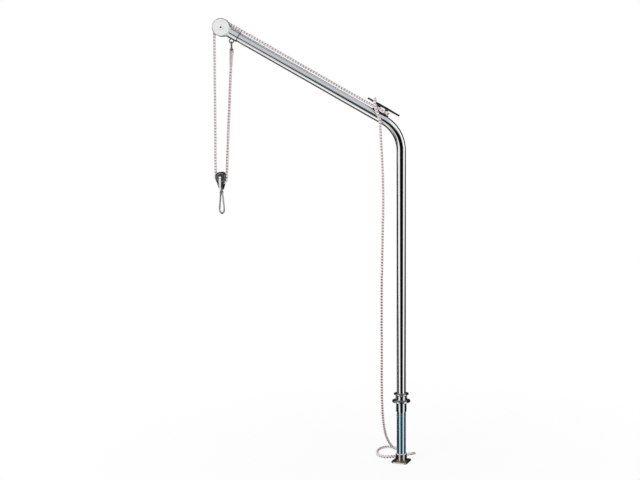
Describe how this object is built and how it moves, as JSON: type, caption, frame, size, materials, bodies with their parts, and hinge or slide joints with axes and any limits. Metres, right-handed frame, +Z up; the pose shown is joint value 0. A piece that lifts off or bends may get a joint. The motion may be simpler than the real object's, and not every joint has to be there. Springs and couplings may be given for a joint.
{
  "type": "davit crane",
  "caption": "Swinging boat davit: a bent stainless post and arm in a deck collar and heel socket, with a sheave head, rope tackle, hook block and horn cleat.",
  "frame": {"origin": "centre of the heel plate's underside, on the post's axis", "axes": "+Z up along the post, arm towards -X, front of the davit towards -Y"},
  "size_m": [0.837, 0.2352, 1.8665],
  "materials": {
    "polished_tube": "mirror-polished stainless tube",
    "polished_fittings": "polished stainless castings, rod and plate",
    "nylon_liner": "natural nylon bearing liner",
    "black_plastic": "black moulded plastic, lightly polished",
    "sheave_plastic": "black acetal",
    "bronze_bush": "sintered bronze",
    "rope": "white laid polyester with red tracer yarns",
    "whipping_twine": "waxed twine"
  },
  "bodies": {
    "base": {"base_socket": "polished_fittings", "heel_bush": "nylon_liner", "deck_collar": "polished_fittings", "deck_bush": "nylon_liner"},
    "mast": {"mast_tube": "polished_tube", "heel_plug": "nylon_liner", "weather_ring": "polished_tube", "head_casting": "polished_fittings", "head_axle_bolt": "polished_fittings", "head_axle_nut": "polished_fittings", "head_washers": "polished_fittings", "becket_eye": "polished_fittings", "becket_shackle": "polished_fittings", "becket_shackle_pin": "polished_fittings", "horn_cleat": "black_plastic", "cleat_screws": "polished_fittings", "rope_becket_eye": "rope", "rope_splice": "rope", "rope_falls": "rope", "rope_arm_run": "rope", "rope_cleat_turns": "rope", "rope_tail": "rope", "rope_whipping": "whipping_twine"},
    "head_sheave": {"head_sheave": "sheave_plastic", "head_sheave_bush": "bronze_bush"},
    "lower_block": {"block_cheek_front": "black_plastic", "block_cheek_rear": "black_plastic", "block_strap": "polished_fittings", "block_axle": "polished_fittings", "block_tie": "polished_fittings"},
    "block_sheave": {"block_sheave": "sheave_plastic", "block_sheave_bush": "bronze_bush"},
    "swivel": {"swivel_eye": "polished_fittings"},
    "hook": {"hook_body": "polished_fittings", "gate_rivet": "polished_fittings"},
    "hook_gate": {"hook_gate": "polished_fittings", "gate_spring": "polished_fittings"}
  },
  "joints": [
    {"name": "mast_swivel", "type": "hinge", "parent": "base", "child": "mast", "pos_m": [0, 0, 0], "axis": [0, 0, 1], "continuous": true},
    {"name": "block_hoist", "type": "slide", "parent": "mast", "child": "lower_block", "axis": [0, 0, 1], "range_m": [-0.75, 0.42], "deforming": ["rope_falls"]},
    {"name": "head_sheave_spin", "type": "hinge", "parent": "mast", "child": "head_sheave", "pos_m": [-0.735, 0, 1.82954], "axis": [0, 1, 0], "continuous": true},
    {"name": "block_sheave_spin", "type": "hinge", "parent": "lower_block", "child": "block_sheave", "pos_m": [-0.7472, 0, 1.21754], "axis": [0.2419, 0.9703, 0], "continuous": true},
    {"name": "eye_swivel", "type": "hinge", "parent": "lower_block", "child": "swivel", "pos_m": [-0.7472, 0, 1.16624], "axis": [0, 0, 1], "continuous": true},
    {"name": "hook_swing", "type": "hinge", "parent": "swivel", "child": "hook", "pos_m": [-0.7472, 0, 1.14884], "axis": [0.7071, 0.7071, 0], "range_deg": [-40, 40]},
    {"name": "gate_open", "type": "hinge", "parent": "hook", "child": "hook_gate", "pos_m": [-0.75304, 0.00584, 1.138], "axis": [-0.7071, -0.7071, 0], "range_deg": [0, 28], "stiffness_Nm_per_rad": 0.02, "springref_deg": -20.05}
  ],
  "couplings": [
    {"joint": "head_sheave_spin", "follows": "block_hoist", "rad_per_m": 67.797},
    {"joint": "block_sheave_spin", "follows": "block_hoist", "rad_per_m": 41.152}
  ]
}
